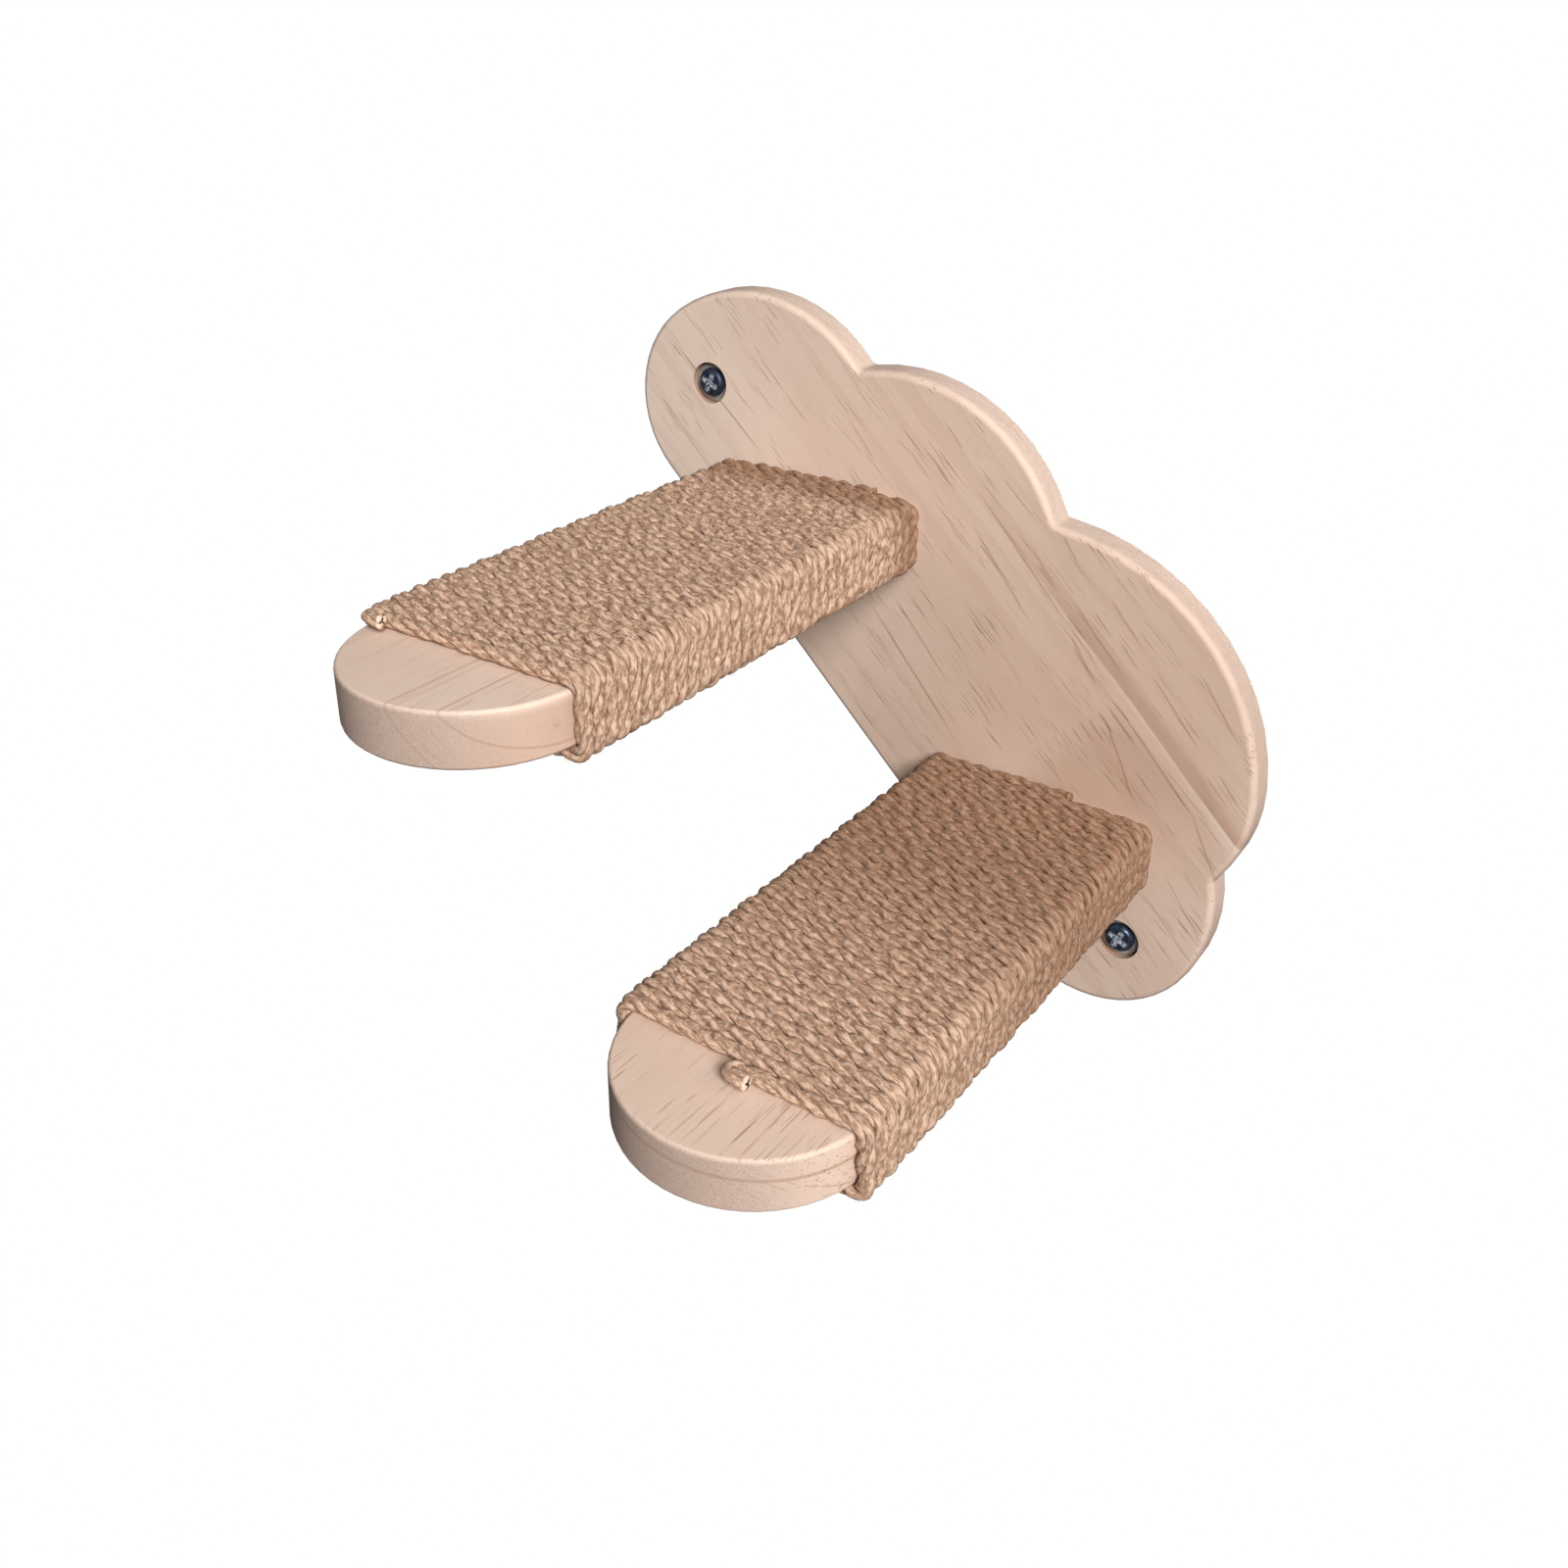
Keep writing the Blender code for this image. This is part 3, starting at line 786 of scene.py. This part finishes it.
def rope_route(rope):
    """Closely set points on the rope's middle line in its step's axes, with how thick it is there.

    Thickness is a share of the rope's diameter, and swelling is what it has over 1.
    """
    pitch = ROPE_DIAMETER + TURN_GAP
    first = SEAT_GAP + ROPE_DIAMETER / 2
    _, perimeter = loop_point(0, rope["start"], STEP_HALF_WIDTH)
    last_part = (rope["start"] - rope["end"]) / perimeter
    turns = floor((rope["wound"] - ROPE_DIAMETER) / pitch - last_part + 0.5) + last_part
    points = []
    swelling = []
    count = ceil(turns * perimeter / STATION)
    for number in range(count + 1):
        done = turns * number / count
        distance = first + pitch * done
        place, _ = loop_point(done % 1.0, rope["start"], half_width_at(distance))
        points.append((place.x, -distance, place.z))
        swelling.append(rope["swell"] * max(0.0, 1 - done / turns))
    end_x, end_y, top = points[-1]
    tail_drop = (ROPE_DIAMETER - TAIL_THICKNESS) / 2
    tapering = round(TAIL_TAPER / STATION)
    shares = [0.0] * (len(points) - tapering) + [(i + 1) / tapering for i in range(tapering)]
    for number, share in enumerate(shares):
        x, y, z = points[number]
        points[number] = (x, y, z - tail_drop * share)
    bend = (ROPE_DIAMETER / 2 + TURN_GAP + TAIL_THICKNESS / 2) / 2
    fold = ceil(bend * pi / STATION)
    for number in range(1, fold + 1):
        angle = pi * number / fold
        x = end_x - bend * sin(angle)
        y = end_y - bend * (1 - cos(angle))
        points.append((x, y, top - tail_drop + TAIL_LIFT * number / fold))
    back = ceil(TAIL_LENGTH / STATION)
    for number in range(1, back + 1):
        x = end_x + TAIL_LENGTH * number / back
        points.append((x, end_y - 2 * bend, top - tail_drop + TAIL_LIFT))
    shares += [1.0] * (fold + back)
    swelling = np.array(swelling + [0.0] * (fold + back))
    thickness = 1 + swelling - np.array(shares) * (1 - TAIL_THICKNESS / ROPE_DIAMETER)
    return np.array(points), thickness, swelling


def wander(random, lengths, spacing, amount):
    """Slow random changes along the rope, one free value for each spacing."""
    knots = np.arange(0, lengths[-1] + spacing, spacing)
    return np.interp(lengths, knots, random.normal(0, amount, len(knots)))


def rope_frames(route):
    """Lengths along the route, its directions, and two sides that don't twist along it."""
    steps = np.diff(route, axis=0)
    lengths = np.concatenate([[0], np.cumsum(np.linalg.norm(steps, axis=1))])
    ahead = np.gradient(route, lengths, axis=0)
    ahead /= np.linalg.norm(ahead, axis=1, keepdims=True)
    first = np.zeros_like(ahead)
    side = np.array((0.0, 1.0, 0.0))
    for number, direction in enumerate(ahead):
        side = side - direction * (side @ direction)
        side /= np.linalg.norm(side)
        first[number] = side
    return lengths, ahead, first, np.cross(ahead, first)


def tube_mesh(name, rings, lengths):
    """A closed tube through rings of points, unrolled in its UV map: metres along, turns around."""
    count, sides, _ = rings.shape
    numbers = np.arange(count * sides).reshape(count, sides)
    turned = np.roll(numbers, -1, axis=1)
    quads = np.stack([numbers[:-1], turned[:-1], turned[1:], numbers[1:]], axis=-1).reshape(-1, 4)
    mesh = bpy.data.meshes.new(name)
    ends = [numbers[0][::-1].tolist(), numbers[-1].tolist()]
    mesh.from_pydata(rings.reshape(-1, 3).tolist(), [], quads.tolist() + ends)
    along = np.repeat(lengths, sides).reshape(count, sides)
    around = np.tile(np.arange(sides + 1) / sides, (count, 1))
    low, high = around[:, :-1], around[:, 1:]
    corners = [
        (along[:-1], low[:-1]),
        (along[:-1], high[:-1]),
        (along[1:], high[1:]),
        (along[1:], low[1:]),
    ]
    values = np.stack([np.stack(corner, axis=-1) for corner in corners], axis=-2).reshape(-1, 2)
    caps = np.tile([[0.0, 0.5]], (2 * sides, 1))
    caps[sides:, 0] = lengths[-1]
    layer = mesh.uv_layers.new(name="unrolled")
    layer.data.foreach_set("uv", np.concatenate([values, caps]).ravel())
    mesh.shade_smooth()
    return mesh


def rope_piece(name, mesh, node):
    """One strand or the loose fibres of a rope, in place of the rope's plain solid."""
    piece = bpy.data.objects.new(name, mesh)
    bpy.context.scene.collection.objects.link(piece)
    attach(piece, "root")
    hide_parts(node)
    return piece


def strand_rings(route, thickness, frames, twist, random):
    """Rings of points round one strand as it twists about the rope's middle line."""
    lengths, ahead, first, second = frames
    angle = twist + wander(random, lengths, spacing=0.008, amount=0.12)
    out = first * np.cos(angle)[:, None] + second * np.sin(angle)[:, None]
    across = np.cross(ahead, out)
    offset = STRAND_OFFSET * thickness * (1 + wander(random, lengths, spacing=0.009, amount=0.06))
    radius = STRAND_RADIUS * thickness * (1 + wander(random, lengths, spacing=0.0025, amount=0.11))
    middle = route + out * offset[:, None]
    rings = []
    for number in range(STRAND_SIDES):
        around = pi + 2 * pi * number / STRAND_SIDES
        push = out * cos(around) + across * (STRAND_FLATNESS * sin(around))
        rings.append(middle + push * radius[:, None])
    return np.stack(rings, axis=1)


def loose_fibres(name, route, ahead, random):
    """Short bent fibres that leave the rope's outer side and lie over it."""
    picks = random.integers(4, len(route) - 4, FIBRES)
    here = route[picks]
    beside = np.abs(here[:, 0]) > STEP_HALF_WIDTH
    outward = np.zeros_like(here)
    outward[:, 0] = np.where(beside, np.sign(here[:, 0]), 0)
    outward[:, 2] = np.where(beside, 0, np.sign(here[:, 2]))
    heading = ahead[picks]
    sideways = np.cross(heading, outward)
    column = (FIBRES, 1)
    lean = random.uniform(-FIBRE_LEAN, FIBRE_LEAN, column)
    out = outward * np.cos(lean) + sideways * np.sin(lean)
    heading = heading * random.choice((-1, 1), column)
    heading = heading + sideways * random.normal(0, FIBRE_STRAY, column)
    heading /= np.linalg.norm(heading, axis=1, keepdims=True)
    reach = random.uniform(*FIBRE_REACH, column)
    lift = random.uniform(*FIBRE_LIFT, column) ** 1.5
    root = here + out * ROPE_DIAMETER * FIBRE_ROOT
    thickness = random.uniform(*FIBRE_THICKNESS, column)
    points = []
    for share in (0.0, 0.33, 0.66, 1.0):
        spot = root + heading * reach * share + out * reach * lift * sin(share * 2.2)
        spot = spot + sideways * reach * FIBRE_BEND * share * share * np.sign(lean)
        for corner in range(3):
            angle = 2 * pi * corner / 3
            width = thickness * (1 - FIBRE_THINNING * share)
            points.append(spot + (out * cos(angle) + np.cross(heading, out) * sin(angle)) * width)
    points = np.stack(points, axis=1)
    numbers = np.arange(FIBRES * 12).reshape(FIBRES, 4, 3)
    turned = np.roll(numbers, -1, axis=2)
    quads = np.stack([numbers[:, :-1], turned[:, :-1], turned[:, 1:], numbers[:, 1:]], axis=-1)
    caps = np.concatenate([numbers[:, 0, ::-1], numbers[:, -1]])
    mesh = bpy.data.meshes.new(name)
    faces = quads.reshape(-1, 4).tolist() + caps.tolist()
    mesh.from_pydata(points.reshape(-1, 3).tolist(), [], faces)
    mesh.shade_smooth()
    return mesh


JUTE_SHADES = {
    "dark yarn": colour(156, 119, 94),
    "pale yarn": colour(209, 176, 151),
    "bright fibre": colour(248, 226, 208),
    # darker fibres, with painted shade in the hollows between them
    "dark fibre and painted hollow shade": colour(108, 74, 52),
    "pale batch": colour(196, 164, 138),
    # painted shade for the rope nearest the plate
    "painted shade brown": colour(126, 86, 58),
    "cut end": colour(240, 214, 188),
    "dark loose fibre": colour(176, 144, 118),
    "pale loose fibre": colour(230, 204, 180),
}
YARN_DEPTH = 0.0007

# How far the yarns turn about their strand, in turns for each millimetre
YARN_TWIST = 0.045


def jute(name, seed, length, brown):
    """Yarns and fibres combed along a strand, with painted shade over its first metres and pale
    where cut.
    """
    finish = Finish(name, Specular_IOR_Level=0.22)
    unrolled = finish.add("UVMap", {"uv_map": "unrolled"}).parts()
    along = unrolled[0] * MILLIMETRES
    around = unrolled[1] + along * YARN_TWIST
    # Each is divided by its length in millimetres, and multiplied by how often it changes round
    yarns = finish.noise(along / 2.8, around * 6.0, seed, detail=1.0)
    fibres = finish.noise(along / 1.6, around * 22.0, seed + 5.0, detail=3.0)
    batches = finish.noise(along / 50.0, around * 0.5, seed + 9.0, detail=2.0)
    # Painted shade: a darker brown over the first metres, which lie nearest the plate
    start = unrolled[0].fall(brown * 0.3, brown)
    cut_end = unrolled[0].rise(length - 0.0012, length - 0.0002)
    tone = finish.mix(yarns.rise(0.36, 0.64), JUTE_SHADES["dark yarn"], JUTE_SHADES["pale yarn"])
    for share, shade in (
        (fibres.rise(0.52, 0.72) * 0.5, "bright fibre"),
        # Darker fibres, and painted shade in the hollows, where the fibres' bumps are lowest
        (fibres.fall(0.30, 0.46) * 0.45, "dark fibre and painted hollow shade"),
        (batches.rise(0.4, 0.7) * 0.25, "pale batch"),
        # the painted shade near the plate
        (start * 0.62, "painted shade brown"),
        (cut_end * 0.7, "cut end"),
    ):
        tone = finish.mix(share, tone, JUTE_SHADES[shade])
    finish.give("Base Color", tone)
    finish.give("Roughness", fibres * 0.2 + 0.55)
    finish.relief(yarns * 0.7 + fibres * 0.3, YARN_DEPTH)
    return finish


def loose_jute(name):
    """The paler single fibres that stand off the rope."""
    finish = Finish(name, Roughness=0.8, Specular_IOR_Level=0.2)
    paler = round_noise(finish, 1.5).rise(0.35, 0.65)
    dark, pale = JUTE_SHADES["dark loose fibre"], JUTE_SHADES["pale loose fibre"]
    finish.give("Base Color", finish.mix(paler, dark, pale))
    return finish


for name, rope in ROPES.items():
    random = np.random.default_rng(rope["seed"])
    node = f"{name}_step_rope"
    route, thickness, swelling = rope_route(rope)
    frames = rope_frames(route)
    lengths, ahead = frames[:2]
    outward = np.cross(ahead, (0, 1, 0))
    route += outward * (swelling * ROPE_DIAMETER)[:, None]
    route[:, 1] += wander(random, lengths, spacing=0.017, amount=0.00012)
    twist = 2 * pi * lengths / ROPE_LAY + wander(random, lengths, spacing=0.06, amount=0.5)
    meshes = []
    for number in range(3):
        rings = strand_rings(route, thickness, frames, twist + 2 * pi * number / 3, random)
        mesh = tube_mesh(f"{node}_strand_{number + 1}", rings, lengths)
        seed = rope["seed"] + 3.0 * number
        meshes.append((mesh, jute(f"{mesh.name}_jute", seed, lengths[-1], rope["brown"])))
    fibres = loose_fibres(f"{node}_fibres", route, ahead, random)
    meshes.append((fibres, loose_jute(f"{node}_loose_jute")))
    for mesh, finish in meshes:
        mesh.transform(Matrix.Translation(step_centre(name)))
        finish.paint(rope_piece(mesh.name, mesh, node))

# Washers. Rings stamped from zinc-plated steel. They lie in the plate's counterbores, under the
# heads of the wall screws.
WASHER_RADIUS = 0.0085
WASHER_HOLE_RADIUS = 0.003
WASHER_THICKNESS = 0.0012
WASHER_EDGE = 0.0002

bpy.ops.object.select_all(action="DESELECT")
bpy.ops.mesh.primitive_cylinder_add(vertices=72, radius=WASHER_RADIUS, depth=WASHER_THICKNESS)
washer_model = bpy.context.active_object
bpy.ops.mesh.primitive_cylinder_add(
    vertices=48, radius=WASHER_HOLE_RADIUS, depth=2 * WASHER_THICKNESS
)
washer_hole = bpy.context.active_object
apply_modifier(washer_model, "BOOLEAN", operation="DIFFERENCE", solver="EXACT", object=washer_hole)
bpy.data.objects.remove(washer_hole)
apply_modifier(washer_model, "BEVEL", width=WASHER_EDGE, segments=2, limit_method="ANGLE")
select_only(washer_model)
bpy.ops.object.shade_smooth_by_angle(angle=SMOOTH_BELOW)
for name in STEPS:
    node = f"{name}_wall_screw_washer"
    low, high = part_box(node)
    piece = placed_copy(
        washer_model,
        f"{node}_stamped",
        (low + high) / 2,
        (radians(90), 0, 0),
        node,
    )
    zinc.paint(piece)
bpy.data.objects.remove(washer_model)

# Wall screws. Blued pan-head screws with a cross recess that hold the plate to the wall, so their
# threads stand out behind it.
WALL_HEAD_RADIUS = 0.00625
WALL_HEAD_HEIGHT = 0.003
WALL_HEAD_ROUNDING = 0.0021
WALL_SHANK_RADIUS = 0.0025
CROSS_TURN = radians(-24)
CLEAN_BLUE = colour(70, 82, 104)
WORN_BLUE = colour(36, 42, 56)
# The near-white of the painted glints on the wall screws' heads
GLINT_WHITE = colour(240, 246, 255)

wall_low, wall_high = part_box("upper_wall_screw")
wall_length = wall_high.y - wall_low.y - WALL_HEAD_HEIGHT
bpy.ops.object.select_all(action="DESELECT")
bpy.ops.mesh.primitive_cylinder_add(
    vertices=64,
    radius=WALL_HEAD_RADIUS,
    depth=WALL_HEAD_HEIGHT,
    location=(0, 0, WALL_HEAD_HEIGHT / 2),
)
wall_head = bpy.context.active_object
bpy.ops.object.transform_apply(location=True, rotation=False, scale=False)
bpy.ops.object.mode_set(mode="EDIT")
bpy.ops.mesh.select_all(action="DESELECT")
bpy.ops.object.mode_set(mode="OBJECT")
for edge in wall_head.data.edges:
    ends = [wall_head.data.vertices[number].co.z for number in edge.vertices]
    edge.select = min(ends) > WALL_HEAD_HEIGHT - MERGE_DISTANCE
bpy.ops.object.mode_set(mode="EDIT")
bpy.ops.mesh.select_mode(type="EDGE")
bpy.ops.mesh.bevel(offset=WALL_HEAD_ROUNDING, segments=7, profile=0.5)
bpy.ops.object.mode_set(mode="OBJECT")
wall_model = finished_screw(
    "wall_screw_model",
    wall_head,
    WALL_HEAD_HEIGHT,
    WALL_SHANK_RADIUS,
    wall_length,
    WALL_HEAD_RADIUS,
)
for name in STEPS:
    node = f"{name}_wall_screw"
    place = on_axis(node, wall_low.y + WALL_HEAD_HEIGHT)
    turn = (Matrix.Rotation(radians(90), 3, "X") @ Matrix.Rotation(CROSS_TURN, 3, "Z")).to_euler()
    piece = placed_copy(wall_model, f"{node}_threaded", place, turn, node)
    blued, tone = plated(
        f"{name}_blued_steel", CLEAN_BLUE, WORN_BLUE, roughness=0.24, metallic=0.55
    )
    x, y, _ = grain_axes(blued, place, turn)
    # Painted glints: near-white patches beside the cross recess's arms stand in for highlights on
    # the head
    beside_arm = abs(x).at_most(abs(y))
    reach = (x * x + y * y) ** 0.5
    painted_glints = beside_arm.fall(0.7, 1.5) * reach.fall(3.4, 4.8)
    painted_glints = painted_glints * blued.noise(x / 1.2, y / 1.2).rise(0.36, 0.52)
    blued.give("Base Color", blued.mix(painted_glints, tone, GLINT_WHITE))
    blued.paint(piece)
bpy.data.objects.remove(wall_model)

# Studio. A wide white floor far below the ladder, a soft key light from the right front, a weak
# one from the right and one behind, with the camera where the photograph was taken from.
FLOOR_HEIGHT = -0.9
FLOOR_SIZE = 14
AIR_STRENGTH = 0.085
WHITE = (1.0, 1.0, 1.0, 1.0)
CAMERA_AZIMUTH = radians(38.0721)
CAMERA_ELEVATION = radians(24.9863)
CAMERA_ROLL = radians(-0.7898)
CAMERA_DISTANCE = 0.69796
CAMERA_TARGET = Vector((-0.11222, -0.015, -0.03145))
SENSOR_WIDTH = 36.0
FOCAL_LENGTH = 33.841
LENS_SHIFT = (0.0542, -0.0821)
CLOSEST_SEEN = 0.01

bpy.ops.mesh.primitive_plane_add(size=FLOOR_SIZE, location=(0, 0, FLOOR_HEIGHT))
floor_plane = bpy.context.active_object
floor_plane.name = "floor"
white = Finish("studio_white", Base_Color=colour(96, 94, 92), Roughness=0.9)
glow = white.add("Emission", {}, {"Color": WHITE, "Strength": 1.0})
seen = white.add("LightPath", output="Is Camera Ray")
shown = white.add("MixShader", {}, {0: seen, 1: Value(white, white.shader.outputs[0]), 2: glow})
white.feed(white.nodes["Material Output"].inputs["Surface"], shown)
white.paint(floor_plane)

world = bpy.data.worlds.new("studio_air")
bpy.context.scene.world = world
world.use_nodes = True
backdrop = world.node_tree.nodes.new("ShaderNodeBackground")
backdrop.inputs["Color"].default_value = WHITE
air = world.node_tree.nodes["Background"]
air.inputs["Color"].default_value = WHITE
air.inputs["Strength"].default_value = AIR_STRENGTH
seen = world.node_tree.nodes.new("ShaderNodeLightPath")
chosen = world.node_tree.nodes.new("ShaderNodeMixShader")
for start, end in (
    (seen.outputs["Is Camera Ray"], chosen.inputs[0]),
    (air.outputs[0], chosen.inputs[1]),
    (backdrop.outputs[0], chosen.inputs[2]),
    (chosen.outputs[0], world.node_tree.nodes["World Output"].inputs["Surface"]),
):
    world.node_tree.links.new(start, end)


def soft_light(name, azimuth, elevation, distance, size, power):
    """A square soft light aimed at the ladder's middle, from in front at 0 and the right at 90."""
    middle = (cad_box[0] + cad_box[1]) / 2
    a = radians(azimuth)
    e = radians(elevation)
    away = Vector((sin(a) * cos(e), -cos(a) * cos(e), sin(e)))
    bpy.ops.object.light_add(type="AREA", location=middle + away * distance)
    light = bpy.context.active_object
    light.name = name
    light.rotation_euler = away.to_track_quat("Z", "Y").to_euler()
    light.data.size = size
    light.data.energy = power


soft_light("key_light", azimuth=49, elevation=34, distance=2.6, size=1.0, power=90)
soft_light("side_light", azimuth=98, elevation=38, distance=1.6, size=0.8, power=3.5)
soft_light("back_light", azimuth=180, elevation=0, distance=2.2, size=1.2, power=34)

bpy.ops.object.camera_add()
camera = bpy.context.active_object
camera.name = "camera"
aim = (
    Matrix.Rotation(CAMERA_AZIMUTH, 3, "Z")
    @ Matrix.Rotation(pi / 2 - CAMERA_ELEVATION, 3, "X")
    @ Matrix.Rotation(CAMERA_ROLL, 3, "Z")
)
camera.rotation_euler = aim.to_euler()
camera.location = CAMERA_TARGET + aim @ Vector((0, 0, CAMERA_DISTANCE))
camera.data.sensor_width = SENSOR_WIDTH
camera.data.lens = FOCAL_LENGTH
camera.data.shift_x, camera.data.shift_y = LENS_SHIFT
camera.data.clip_start = CLOSEST_SEEN
bpy.context.scene.camera = camera
bpy.context.scene.view_settings.view_transform = "Standard"
